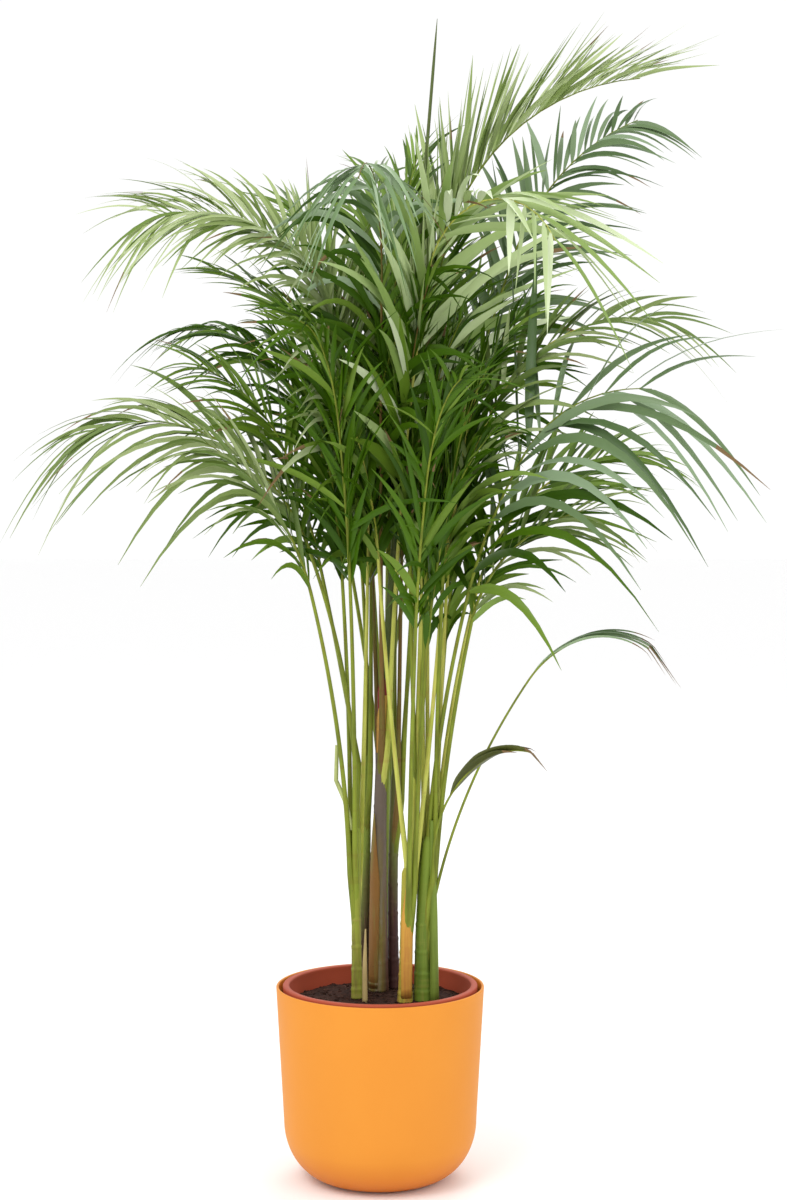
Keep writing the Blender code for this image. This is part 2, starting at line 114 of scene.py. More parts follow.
# Fronds, as in the frame: cane, heading, height and length of the petiole, length of the blade, leans from
# upright at foot, neck, middle and tip, sweep, reach, lift, roll, droop and width of the leaflets, their
# tint and that of the stalk. Angles are in degrees.
Frond = namedtuple(
    "Frond", "cane heading height petiole blade leans sweep reach lift roll droop width tint stalk"
)
FRONDS = {
    "top_right": Frond(
        "dark", 350, 0.456, 0.330, 0.55, (-2, 5, 18, 88), 42, 0.21, 25, 18, 0.05, 0.0095, "light", "olive"
    ),
    "top_left": Frond(
        "back_left", 190, 0.476, 0.200, 0.52, (-1, 4, 9, 104), 45, 0.20, 15, 40, 0.35, 0.0078,
        "light", "olive",
    ),
    "wide_right": Frond(
        "green", 345, 0.386, 0.265, 0.33, (5, 14, 30, 96), 58, 0.24, 5, 50, 0.50, 0.0130, "blue", "olive"
    ),
    "far_left": Frond(
        "left", 180, 0.396, 0.310, 0.30, (0, 20, 58, 112), 48, 0.20, 0, 30, 0.65, 0.0085, "pale", "olive"
    ),
    "front_top": Frond(
        "main", 262, 0.520, 0.245, 0.47, (4, 0, -4, 130), 50, 0.20, -35, 0, 0.60, 0.0092, "grey", "brown"
    ),
    # its bright tint is partly painted light and sheen
    "front_right": Frond(
        "main", 318, 0.510, 0.260, 0.46, (3, 6, 12, 152), 50, 0.20, -15, 0, 0.50, 0.0135, "bright", "yellow"
    ),
    "back_right": Frond(
        "back", 25, 0.481, 0.320, 0.50, (4, 22, 20, 68), 55, 0.17, 0, 45, 0.30, 0.0105, "blue", "olive"
    ),
    "mid_right": Frond(
        "yellow", 10, 0.345, 0.315, 0.43, (7, 4, 30, 98), 40, 0.18, 5, 45, 0.45, 0.0090, "pale", "yellow"
    ),
    "low_left": Frond(
        "left", 208, 0.355, 0.300, 0.21, (3, 15, 36, 62), 42, 0.18, 0, 45, 0.45, 0.0068, "pale", "olive"
    ),
    "right": Frond(
        "green", 28, 0.380, 0.270, 0.29, (5, 16, 54, 92), 48, 0.165, 5, 40, 0.30, 0.0080, "mid", "yellow"
    ),
    "mid_left": Frond(
        "back_left", 172, 0.455, 0.220, 0.28, (10, 12, 22, 68), 45, 0.18, 5, 35, 0.35, 0.0075,
        "mid", "olive",
    ),
    "upper_left": Frond(
        "yellow", 168, 0.353, 0.330, 0.39, (7, 4, 21, 72), 38, 0.16, 5, 25, 0.20, 0.0085, "mid", "yellow"
    ),
    "low_right": Frond(
        "green", 356, 0.335, 0.285, 0.20, (4, 12, 48, 82), 50, 0.17, 0, 40, 0.35, 0.0075, "pale", "olive"
    ),
    "crown_left": Frond(
        "main", 125, 0.500, 0.215, 0.43, (3, 5, 14, 62), 44, 0.19, 5, 10, 0.15, 0.0080, "mid", "brown"
    ),
    "front_left": Frond(
        "left", 256, 0.383, 0.275, 0.37, (0, 8, 22, 90), 26, 0.17, 5, 20, 0.45, 0.0085, "deep", "olive"
    ),
    "front_low": Frond(
        "yellow", 285, 0.340, 0.270, 0.34, (3, 8, 22, 80), 24, 0.15, 10, 0, 0.40, 0.0085, "deep", "olive"
    ),
    "back_top": Frond(
        "dark", 100, 0.440, 0.300, 0.44, (0, 3, 8, 60), 42, 0.18, 5, 0, 0.20, 0.0080, "mid", "olive"
    ),
    "back_low": Frond(
        "back", 105, 0.440, 0.220, 0.36, (8, 15, 35, 110), 45, 0.18, 10, 0, 0.50, 0.0085, "deep", "olive"
    ),
    "back_left_low": Frond(
        "back", 150, 0.465, 0.230, 0.38, (8, 12, 30, 95), 45, 0.18, 10, 15, 0.45, 0.0085, "deep", "olive"
    ),
    "back_mid": Frond(
        "back", 58, 0.450, 0.290, 0.44, (3, 6, 16, 75), 42, 0.19, 10, 10, 0.25, 0.0085, "mid", "olive"
    ),
    "right_back": Frond(
        "dark", 45, 0.425, 0.275, 0.42, (4, 10, 20, 75), 42, 0.17, 10, 15, 0.25, 0.0085, "mid", "olive"
    ),
    "young_right": Frond(
        "green", 350, 0.310, 0.270, 0.15, (12, 34, 71, 124), 12, 0.075, 5, 30, 0.20, 0.0050, "grey", "olive"
    ),
    "young_low": Frond(
        "green", 318, 0.350, 0.085, 0.13, (-2, 36, 60, 96), 7, 0.075, 0, 20, 0.10, 0.0085, "brown", "olive"
    ),
}
FACING = -0.1  # a blade whose heading points left of this turns its leaflets' sides over
STEPS = 24  # moves along each petiole and each rachis
GAP = 0.0004
PETIOLE_FOOT_RADIUS = 0.0032
PETIOLE_NECK_RADIUS = 0.0022
RACHIS_TIP_RADIUS = 0.0005
YOUNG_SHARE = 0.6  # of the stalk's radius, for a young leaf
RIB_SIDES = 12
SLIMMER = 0.86  # a stalk is this much slimmer above its foot
SHEATH_LENGTH = 0.090  # by which a stalk's foot wraps onto its cane
SHEATH_ROWS = 6
TIP_SWEEP = 16  # sweep of the last leaflets, where FANS has no other
SWEEP_EASE = 0.75
LEAST_SWEEP = 4.0
LEAFLET_BASE = 0.80
LEAFLET_SWELL = 0.20
LEAFLET_LOSS = 0.35
ROLL_SLACK = 0.45

# Ribbons of the young leaves: start and end along the blade, way to the side, and width
YOUNG_ROWS = 22
YOUNG_TWIST = 50.0
YOUNG_FOLD = 0.6
YOUNG_OUTLINE = ((0, 0.12, 0.4, 0.75, 1), (0.08, 0.60, 1.0, 0.70, 0.03))
SAG = np.array([0.0, 0.0, -0.7])
YOUNG_RIBBONS = {
    "young_low": ((0.00, 1.18, 0.000, 0.0180), (0.02, 1.02, 0.007, 0.0130), (0.05, 0.90, -0.005, 0.0120)),
    "young_right": (
        (0.00, 1.22, 0.003, 0.0085),
        (0.05, 1.12, 0.010, 0.0070),
        (0.12, 1.05, -0.010, 0.0070),
        (0.25, 1.00, 0.018, 0.0060),
        (0.30, 1.15, -0.004, 0.0065),
        (0.40, 1.25, 0.007, 0.0060),
    ),
}

# Fronds of the crown's inside, which only fill it and replace nothing. Most have the deep tint, which is
# partly the leaves' own dark green and partly painted shade of the crown's inside.
INNER = {
    "inner_one": Frond(
        "green", 110, 0.365, 0.280, 0.26, (1, 2, 6, 30), 22, 0.14, 5, 0, 0.25, 0.0080, "deep", "yellow"
    ),
    "inner_two": Frond(
        "yellow", 30, 0.330, 0.330, 0.26, (3, 2, 6, 30), 22, 0.14, 5, 0, 0.25, 0.0080, "deep", "olive"
    ),
    "inner_three": Frond(
        "dark", 330, 0.430, 0.250, 0.28, (3, 4, 8, 30), 22, 0.15, 5, 0, 0.25, 0.0080, "deep", "olive"
    ),
    "inner_four": Frond(
        "green", 90, 0.372, 0.290, 0.30, (3, 2, 6, 30), 24, 0.15, 5, 0, 0.25, 0.0080, "mid", "yellow"
    ),
    "inner_five": Frond(
        "back_left", 300, 0.460, 0.200, 0.28, (1, 0, 4, 40), 24, 0.15, 5, 0, 0.25, 0.0080, "deep", "olive"
    ),
    "inner_six": Frond(
        "yellow", 60, 0.325, 0.345, 0.25, (5, 3, 6, 30), 22, 0.13, 5, 0, 0.25, 0.0080, "deep", "yellow"
    ),
    "inner_seven": Frond(
        "green", 340, 0.355, 0.300, 0.25, (0, 3, 8, 30), 22, 0.13, 5, 0, 0.25, 0.0080, "deep", "olive"
    ),
    "inner_eight": Frond(
        "green", 150, 0.362, 0.310, 0.26, (3, 1, 4, 20), 22, 0.13, 5, 0, 0.25, 0.0080, "deep", "olive"
    ),
    "inner_nine": Frond(
        "left", 60, 0.370, 0.280, 0.26, (4, 2, 4, 30), 22, 0.13, 5, 0, 0.25, 0.0080, "deep", "yellow"
    ),
    "inner_mid": Frond(
        "main", 10, 0.500, 0.190, 0.34, (2, 3, 5, 30), 22, 0.17, 5, 10, 0.25, 0.0080, "deep", "olive"
    ),
    "inner_front": Frond(
        "dark", 290, 0.440, 0.230, 0.33, (2, 3, 8, 40), 24, 0.16, 5, 0, 0.30, 0.0080, "deep", "brown"
    ),
    "inner_left": Frond(
        "left", 150, 0.380, 0.280, 0.30, (0, 4, 12, 45), 26, 0.16, 5, 20, 0.35, 0.0075, "deep", "olive"
    ),
    "inner_right": Frond(
        "green", 20, 0.375, 0.290, 0.32, (1, 4, 12, 40), 26, 0.16, 5, 20, 0.35, 0.0080, "deep", "yellow"
    ),
    "inner_back": Frond(
        "back", 80, 0.460, 0.230, 0.34, (1, 2, 6, 40), 26, 0.17, 5, 0, 0.30, 0.0080, "deep", "olive"
    ),
    "inner_high": Frond(
        "main", 60, 0.520, 0.270, 0.36, (1, 2, 4, 30), 22, 0.16, 5, 0, 0.20, 0.0075, "mid", "olive"
    ),
    "inner_low": Frond(
        "yellow", 330, 0.335, 0.250, 0.26, (2, 5, 12, 45), 26, 0.15, 0, 0, 0.45, 0.0080, "deep", "olive"
    ),
    "inner_side": Frond(
        "green", 40, 0.350, 0.240, 0.24, (2, 6, 14, 50), 26, 0.15, 0, 10, 0.45, 0.0080, "deep", "olive"
    ),
}

# Leaflets
PAIR_SPACING = 1.35  # of a leaflet's width, between leaflets on one side
LEAFLET_ROWS = 9
Scatter = namedtuple("Scatter", "sweep lift length droop twist end")
OUTLINE = ((0, 0.06, 0.22, 0.5, 0.8, 1), (0.30, 0.72, 1.0, 0.86, 0.40, 0.03))
LEAST_PAIRS = 6
# Fronds whose leaflets differ from the rule, by a factor: spacing, droop, length and scatter
SPARSE = {
    "low_left": 1.3, "wide_right": 1.12, "front_right": 0.85, "low_right": 1.3, "top_right": 0.50,
    "top_left": 0.42, "mid_right": 1.15, "back_right": 0.80,
}
SLACKER = {
    "far_left": 0.75, "low_left": 0.8, "front_low": 0.45, "mid_right": 0.6, "right": 0.6,
    "front_left": 0.45, "front_right": 0.4, "top_left": 1.10, "wide_right": 0.85,
}
LONGER = {
    "front_right": 1.3, "wide_right": 1.40, "far_left": 1.06, "front_top": 1.1, "top_left": 1.05,
    "low_left": 1.2,
}
LOOSER = {"front_low": 2.2, "front_left": 2.0, "inner_low": 2.0, "inner_front": 2.0}
# Sweep of the last leaflets, in degrees
FANS = {
    "front_right": 40, "front_top": 38, "top_right": 34, "top_left": 30, "wide_right": 26,
    "back_right": 26,
}
# Tint of the leaflets near the stalk, and the share of the blade that has it: a darker tint, painted shade
# toward the crown's inside
LOWER = {
    "grey": ("deep", 0.52), "light": ("mid", 0.18), "mid": ("deep", 0.30), "blue": ("deep", 0.22),
    "pale": ("mid", 0.15), "bright": ("mid", 0.06),
}
LOWER_SCATTER = 0.05
# Stray leaflets: how many, from which share of the blade, and their length, droop and width
STRAY_SHARE = 0.06
STRAY_FROM = 0.35
STRAY = (1.15, 0.9, 0.6)
FOLD = 0.32  # rise of a leaflet's edges, as a share of its half width
SPREAD = 8.0  # degrees of scatter in the ways of the leaflets
NECK = ((0, 0.16), (0.60, 1.0))  # leaflets near the stalk are shorter
ARCH = 0.045  # rise of a leaflet's middle, as a share of its length, before it falls
FALL_POWER = 2.2
TWIST = 30.0  # degrees of scatter in the way each leaflet faces
LENGTHS = (0.72, 1.08)
DROOPS = (0.65, 1.35)
WIDTHS = (0.75, 1.15)
TIP_SLIMMING = 0.5
SHADE_ODDS = (0.40, 0.28, 0.20, 0.12)
TIP_BROWN_SHARE = 0.07  # of the leaflets, which have a dry tip
LEAF_SHEEN = 0.30
DEEP_SHEEN = 0.15  # in the crown's darker tints

SPEAR_LENGTH = 0.728
SPEAR_LEAN = 4.6
SPEAR_RADII = (0.0036, 0.0015)
SPEAR_ROWS = 40
SPEAR_FLAT = 0.75
SPEAR_SKIN = ((0.090, 0.120, 0.035), (0.060, 0.090, 0.025), (0.150, 0.150, 0.060))
SPEAR_FLARE = 0.0012
SPEAR_POINT = 0.93  # share of its length where the tip starts to close

# Leaf colours by tint, linear, in the order of SHADE_ODDS
TINTS = {
    # deep: the leaves' own dark green, partly painted shade, for fronds in the crown's inside and centre
    "deep": ((0.042, 0.104, 0.002), (0.062, 0.138, 0.004), (0.028, 0.072, 0.002), (0.140, 0.230, 0.026)),
    "mid": ((0.120, 0.212, 0.016), (0.088, 0.170, 0.011), (0.190, 0.300, 0.050), (0.050, 0.112, 0.005)),
    "pale": ((0.190, 0.262, 0.075), (0.125, 0.195, 0.042), (0.290, 0.360, 0.150), (0.080, 0.132, 0.018)),
    # bright: lighter than the leaves' own colour, as painted light and sheen on the hanging front right
    # leaflets
    "bright": ((0.470, 0.580, 0.280), (0.360, 0.480, 0.180), (0.600, 0.690, 0.430), (0.230, 0.340, 0.085)),
    "light": ((0.320, 0.410, 0.155), (0.230, 0.315, 0.092), (0.430, 0.510, 0.260), (0.130, 0.210, 0.034)),
    "blue": ((0.120, 0.190, 0.078), (0.165, 0.240, 0.120), (0.070, 0.128, 0.040), (0.225, 0.315, 0.180)),
    "grey": ((0.240, 0.345, 0.182), (0.155, 0.245, 0.106), (0.340, 0.450, 0.282), (0.085, 0.158, 0.040)),
    "brown": ((0.082, 0.096, 0.020), (0.115, 0.122, 0.030), (0.056, 0.068, 0.014), (0.150, 0.140, 0.045)),
}
TIP_BROWN = (0.190, 0.120, 0.050)
STALKS = {
    "olive": ((0.205, 0.255, 0.026), (0.120, 0.150, 0.016)),
    # yellow: the stalk's own yellow, made lighter as a painted highlight
    "yellow": ((0.500, 0.520, 0.105), (0.290, 0.330, 0.035)),
    "brown": ((0.175, 0.105, 0.028), (0.150, 0.150, 0.028)),
}
STALK_RING = (0.85, 0.62, 0.75)  # browner streaks on a stalk
# Cane skins: base colour, its blotches, its rings, and the green higher up
SKINS = {
    "left": ((0.250, 0.280, 0.035), (0.150, 0.120, 0.030), (0.330, 0.230, 0.080), (0.240, 0.300, 0.040)),
    "back_left": (
        (0.075, 0.045, 0.025), (0.040, 0.022, 0.015), (0.150, 0.120, 0.040), (0.190, 0.250, 0.040)
    ),
    "main": ((0.200, 0.165, 0.045), (0.300, 0.265, 0.180), (0.230, 0.110, 0.035), (0.150, 0.115, 0.095)),
    "dark": ((0.065, 0.026, 0.025), (0.030, 0.013, 0.012), (0.130, 0.070, 0.040), (0.130, 0.140, 0.040)),
    "yellow": ((0.370, 0.320, 0.045), (0.400, 0.200, 0.035), (0.200, 0.210, 0.040), (0.320, 0.350, 0.040)),
    "green": ((0.130, 0.200, 0.022), (0.080, 0.130, 0.016), (0.240, 0.240, 0.045), (0.200, 0.270, 0.032)),
    "back": ((0.160, 0.200, 0.040), (0.100, 0.120, 0.030), (0.240, 0.220, 0.080), (0.200, 0.260, 0.040)),
}
SPECK_COLOUR = (0.060, 0.040, 0.022)
GREEN_FROM = 0.27  # height at which a cane's skin starts to turn green
GREEN_OVER = 0.12
MAIN_SHADED_FLANK = (0.085, 0.038, 0.026)  # painted shade: dark right flank of the main cane
SHADED_FLANK_FROM = 0.001
SHADED_FLANK_OVER = 0.006

# Dry or coloured sheaths round a cane: cane, lowest and highest point, facing, half width at each end
# in degrees, and two colours
Wrap = namedtuple("Wrap", "cane low high facing low_half high_half base patch")
WRAPS = {
    "split_sheath": Wrap("main", 0.203, 0.402, 225, 52, 4, (0.250, 0.120, 0.030), (0.230, 0.190, 0.050)),
    "tip_sheath": Wrap("main", 0.470, 0.535, 290, 95, 20, (0.520, 0.330, 0.060), (0.400, 0.200, 0.050)),
    "red_bract": Wrap("main", 0.512, 0.554, 262, 85, 10, (0.230, 0.020, 0.018), (0.170, 0.040, 0.028)),
    "yellow_split": Wrap("yellow", 0.205, 0.345, 285, 60, 4, (0.560, 0.300, 0.050), (0.420, 0.170, 0.040)),
}
WRAP_OUTLINE = ((0, 0.3, 0.6, 1), (0.75, 0.9, 1.0, 0.0))
WRAP_LIFT = 0.0004
WRAP_THICKNESS = 0.0007
WRAP_FLARE = 0.0010  # by which a tip stands off its cane
WRAP_ROWS = 14
WRAP_COLUMNS = 9

# Cut stubs and a bare stalk: points, radii and colour
STUB_ROWS = 16
STUB_SHADE = 0.7
STUBS = {
    "cut_stalk": (
        ((-0.031, 0.0, 0.388), (-0.039, 0.0, 0.421), (-0.0487, 0.0, 0.443), (-0.0476, 0.0, 0.482)),
        (0.0030, 0.0027, 0.0024, 0.0020),
        (0.420, 0.470, 0.170),
    ),
    "dry_stub": (
        ((-0.0166, -0.020, 0.198), (-0.0168, -0.020, 0.240), (-0.0160, -0.019, 0.281)),
        (0.0030, 0.0026, 0.0008),
        (0.430, 0.330, 0.140),
    ),
    "side_stalk": (
        ((0.0600, -0.016, 0.198), (0.0590, -0.014, 0.300), (0.0570, -0.011, 0.400)),
        (0.0052, 0.0044, 0.0028),
        (0.170, 0.240, 0.035),
    ),
}


class Socket:
    """A shader socket, or a number, that adds its Math nodes as an expression is written."""

    def __init__(self, tree, link):
        self.tree, self.link = tree, link

    def math(self, operation, *others):
        """One Math node over this socket and the others."""
        values = [o.link if isinstance(o, Socket) else o for o in (self, *others)]
        return node(self.tree, "ShaderNodeMath", {"operation": operation}, dict(enumerate(values)))

    def __add__(self, other):
        return self.math("ADD", other)

    def __sub__(self, other):
        return self.math("SUBTRACT", other)

    def __mul__(self, other):
        return self.math("MULTIPLY", other)

    def __truediv__(self, other):
        return self.math("DIVIDE", other)

    def __rsub__(self, other):
        return Socket(self.tree, other).math("SUBTRACT", self)

    def clamp(self):
        """The value kept between 0 and 1."""
        return self.math("MAXIMUM", 0.0).math("MINIMUM", 1.0)


def node(tree, kind, settings, values, output=0):
    """A shader node with its settings, then its values or links, as the socket of one output."""
    made = tree.nodes.new(kind)
    for key, value in settings.items():
        setattr(made, key, value)
    for key, value in values.items():
        if isinstance(value, Socket):
            value = value.link
        if isinstance(value, bpy.types.NodeSocket):
            tree.links.new(value, made.inputs[key])
        else:
            made.inputs[key].default_value = value
    return Socket(tree, made.outputs[output])


def blend_colour(tree, share, first, second):
    """Colour between two, by a share."""
    made = tree.nodes.new("ShaderNodeMix")
    made.data_type = "RGBA"
    tree.links.new(share.link, made.inputs[0])
    for index, colour in ((6, first), (7, second)):
        if isinstance(colour, Socket):
            tree.links.new(colour.link, made.inputs[index])
        else:
            made.inputs[index].default_value = (*colour, 1.0)
    return Socket(tree, made.outputs[2])


def noise(tree, where, scale, detail=3.0, roughness=0.55):
    """Noise from 0 to 1 at a place."""
    values = {"Vector": where, "Scale": scale, "Detail": detail, "Roughness": roughness}
    return node(tree, "ShaderNodeTexNoise", {}, values)


def stretched(tree, scale):
    """Object coordinates, scaled along each axis."""
    place = node(tree, "ShaderNodeTexCoord", {}, {}, "Object")
    return node(tree, "ShaderNodeMapping", {}, {"Vector": place, "Scale": scale})


def new_material(name, roughness):
    """An empty Principled material, with its tree and its shader."""
    made = bpy.data.materials.new(name)
    made.use_nodes = True
    shader = made.node_tree.nodes["Principled BSDF"]
    shader.inputs["Roughness"].default_value = roughness
    return made, made.node_tree, shader


def feed(tree, socket, value):
    """Link a value to a shader's socket."""
    tree.links.new(value.link, socket)


def bump(tree, shader, height, strength, distance):
    """Relief from a height."""
    values = {"Height": height, "Strength": strength, "Distance": distance}
    feed(tree, shader.inputs["Normal"], node(tree, "ShaderNodeBump", {}, values))


def plastic_material(name, colours, roughness, foot=0.0):
    """Matt moulded plastic: fine grain, faint clouds of tone, and a deeper tone painted as shade at a
    rounded foot.
    """
    colour, worn = colours
    made, tree, shader = new_material(name, roughness)
    shader.inputs["Specular IOR Level"].default_value = 0.30
    cloud = noise(tree, stretched(tree, (1, 1, 0.6)), 9.0, 4.0)
    grain = noise(tree, stretched(tree, (1, 1, 1)), 900.0, 2.0)
    share = ((cloud - 0.35) * 1.6 + (grain - 0.5) * 0.35).clamp()
    tone = blend_colour(tree, share, colour, worn)
    # painted shade: below the foot's top the colour deepens toward a darker share of the worn colour
    if foot:
        place = node(tree, "ShaderNodeTexCoord", {}, {}, "Object")
        up = node(tree, "ShaderNodeSeparateXYZ", {}, {"Vector": place}, "Z")
        painted_foot_shade = tuple(c * k for c, k in zip(worn, COVER_FOOT_PAINTED_SHADE))
        tone = blend_colour(tree, (1 - up / foot).clamp(), tone, painted_foot_shade)
    feed(tree, shader.inputs["Base Color"], tone)
    feed(tree, shader.inputs["Roughness"], cloud * 0.12 + (roughness - 0.06))
    bump(tree, shader, grain, 0.10, 0.0004)
    return made


def soil_material(name):
    """Damp dark soil with paler fibres."""
    made, tree, shader = new_material(name, 0.92)
    shader.inputs["Specular IOR Level"].default_value = 0.12
    where = stretched(tree, (1, 1, 1))
    clumps = noise(tree, where, 120.0, 6.0, 0.7)
    fibres = noise(tree, where, 420.0, 3.0)
    dark = blend_colour(tree, ((clumps - 0.35) * 2.2).clamp(), *SOIL_COLOURS)
    light = blend_colour(tree, ((fibres - 0.62) * 5.0).clamp(), dark, FIBRE_COLOUR)
    feed(tree, shader.inputs["Base Color"], light)
    bump(tree, shader, clumps + fibres * 0.4, 0.8, 0.003)
    return made


def skin_material(name, base, patch, ring, high=None, shaded_flank=None):
    """Smooth plant skin: upright streaks, blotches and specks, another colour higher up, and painted shade
    on a flank where one is given.
    """
    made, tree, shader = new_material(name, 0.45)
    shader.inputs["Specular IOR Level"].default_value = 0.18
    streaks = noise(tree, stretched(tree, (420, 420, 11)), 1.0, 4.0)
    blotch = noise(tree, stretched(tree, (120, 120, 13)), 1.0, 4.0)
    bands = noise(tree, stretched(tree, (9, 9, 110)), 1.0, 2.0)
    fleck = noise(tree, stretched(tree, (1, 1, 1)), 420.0, 2.0)
    place = node(tree, "ShaderNodeTexCoord", {}, {}, "Object")
    body = blend_colour(tree, ((blotch - 0.45) * 5.0).clamp(), base, patch)
    body = blend_colour(tree, ((bands - 0.60) * 7.0).clamp() * 0.55, body, ring)
    # painted shade: the skin darkens toward the flank colour beyond a point along X
    if shaded_flank:
        across = node(tree, "ShaderNodeSeparateXYZ", {}, {"Vector": place}, "X")
        share = ((across - SHADED_FLANK_FROM) / SHADED_FLANK_OVER + (blotch - 0.5) * 1.2).clamp()
        body = blend_colour(tree, share, body, shaded_flank)
    lined = blend_colour(tree, ((streaks - 0.50) * 4.0).clamp() * 0.75, body, ring)
    if high:
        up = node(tree, "ShaderNodeSeparateXYZ", {}, {"Vector": place}, "Z")
        share = ((up - GREEN_FROM) / GREEN_OVER + (blotch - 0.5) * 1.5).clamp()
        lined = blend_colour(tree, share, lined, high)
    specked = blend_colour(tree, ((fleck - 0.68) * 5.0).clamp(), lined, SPECK_COLOUR)
    feed(tree, shader.inputs["Base Color"], specked)
    feed(tree, shader.inputs["Roughness"], streaks * 0.25 + 0.38)
    bump(tree, shader, streaks + bands * 0.4 + fleck * 0.3, 0.3, 0.0006)
    return made


def leaf_material(name, colour, roughness=0.38):
    """A plain leaf colour, as the leaflets share it out between them."""
    made, _, shader = new_material(name, roughness)
    shader.inputs["Base Color"].default_value = (*colour, 1.0)
    shader.inputs["Specular IOR Level"].default_value = DEEP_SHEEN if "deep" in name else LEAF_SHEEN
    return made


def mesh_piece(name, vertices, faces, materials, smooth=True):
    """A finished mesh, placed by its vertices, that rides on the palm's one body."""
    mesh = bpy.data.meshes.new(name)
    mesh.from_pydata(np.asarray(vertices, float).tolist(), [], faces)
    for material in materials:
        mesh.materials.append(material)
    mesh.polygons.foreach_set("use_smooth", [smooth] * len(mesh.polygons))
    mesh.update()
    piece = bpy.data.objects.new(name, mesh)
    bpy.context.scene.collection.objects.link(piece)
    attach(piece, BODY)
    return piece


def select_only(piece):
    """Make one object the only selected and the active one."""
    bpy.ops.object.select_all(action="DESELECT")
    piece.select_set(True)
    bpy.context.view_layer.objects.active = piece


def corner(centre, radius, start, end, count):
    """Points of a round corner, between two angles in degrees."""
    turns = np.radians(np.linspace(start, end, count))
    return [(centre[0] + radius * np.cos(a), centre[1] + radius * np.sin(a)) for a in turns]


def turned_piece(name, profile, material):
    """A profile of (radius, height) points spun about the upright axis into a closed shell."""
    mesh = bpy.data.meshes.new(name)
    edges = [(i, i + 1) for i in range(len(profile) - 1)]
    mesh.from_pydata([(r, 0.0, z) for r, z in profile], edges, [])
    piece = bpy.data.objects.new(name, mesh)
    bpy.context.scene.collection.objects.link(piece)
    select_only(piece)
    bpy.ops.object.mode_set(mode="EDIT")
    bpy.ops.mesh.select_all(action="SELECT")
    bpy.ops.mesh.spin(steps=POT_TURNS, angle=2 * np.pi, center=(0, 0, 0), axis=(0, 0, 1))
    bpy.ops.mesh.select_all(action="SELECT")
    bpy.ops.mesh.remove_doubles(threshold=0.00002)
    bpy.ops.mesh.normals_make_consistent(inside=False)
    bpy.ops.object.mode_set(mode="OBJECT")
    bpy.ops.object.shade_smooth_by_angle(angle=np.radians(50))
    piece.data.materials.append(material)
    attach(piece, BODY)
    return piece


def foot_arc(waist_radius, bottom):
    """Rounded foot of the cover pot, from the waist to the flat underside."""
    turns = np.linspace(0, np.pi / 2, 25)[1:]
    radii = POT_FOOT_RADIUS + (waist_radius - POT_FOOT_RADIUS) * np.cos(turns)
    heights = POT_WAIST_HEIGHT - (POT_WAIST_HEIGHT - bottom) * np.sin(turns)
    return list(zip(radii, heights))


def make_cover_pot():
    """Round-footed cover pot with a soft rolled lip."""
    lip = POT_WALL / 2
    outside = corner((POT_RIM_RADIUS - lip, POT_HEIGHT - lip), lip, 180, 0, 9)
    side = [(POT_WAIST_RADIUS, POT_WAIST_HEIGHT)] + foot_arc(POT_WAIST_RADIUS, 0.0)
    inner = POT_WAIST_RADIUS - POT_WALL
    inside = [(inner, POT_WAIST_HEIGHT)] + foot_arc(inner, POT_FLOOR)
    profile = [(0.0, POT_FLOOR)] + inside[::-1] + outside + side + [(0.0, 0.0)]
    # the last value is the top of the painted shade at the cover pot's foot
    finish = plastic_material("cover_pot_plastic", COVER_COLOURS, 0.55, COVER_FOOT_PAINTED_SHADE_TOP)
    piece = turned_piece("cover_pot_shell", profile, finish)
    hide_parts("cover_pot")


def make_nursery_pot():
    """Grower's pot with a rolled rim, and a fine step under it."""
    rim_in = NURSERY_RIM_RADIUS - NURSERY_RIM_WALL
    rim_foot = NURSERY_TOP - NURSERY_RIM_HEIGHT
    roll = 0.0022
    profile = [(0.0, NURSERY_BOTTOM + NURSERY_WALL)]
    profile += [(NURSERY_BOTTOM_RADIUS - NURSERY_WALL, NURSERY_BOTTOM + NURSERY_WALL)]
    profile += [(NURSERY_TOP_RADIUS - NURSERY_WALL, rim_foot), (rim_in, NURSERY_TOP - roll - 0.003)]
    profile += corner((rim_in + roll, NURSERY_TOP - roll), roll, 180, 90, 6)
    profile += corner((NURSERY_RIM_RADIUS - roll, NURSERY_TOP - roll), roll, 90, 0, 6)
    profile += [(NURSERY_RIM_RADIUS, rim_foot), (NURSERY_TOP_RADIUS, rim_foot - GAP)]
    profile += [(NURSERY_BOTTOM_RADIUS, NURSERY_BOTTOM), (0.0, NURSERY_BOTTOM)]
    finish = plastic_material("nursery_pot_plastic", NURSERY_COLOURS, 0.60)
    piece = turned_piece("nursery_pot_shell", profile, finish)
    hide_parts("nursery_pot")


def soil_height(x, y):
    """Uneven top of the soil, which falls away at the wall."""
    radius = np.hypot(x, y)
    waves = 0.0010 * np.sin(x * 90 + 1.3) * np.cos(y * 75)
    ripples = 0.0007 * np.sin(x * 210) * np.sin(y * 190 + 0.6)
    return SOIL_TOP + (waves + ripples) - 0.004 * np.clip((radius - 0.075) / 0.022, 0, 1) ** 2


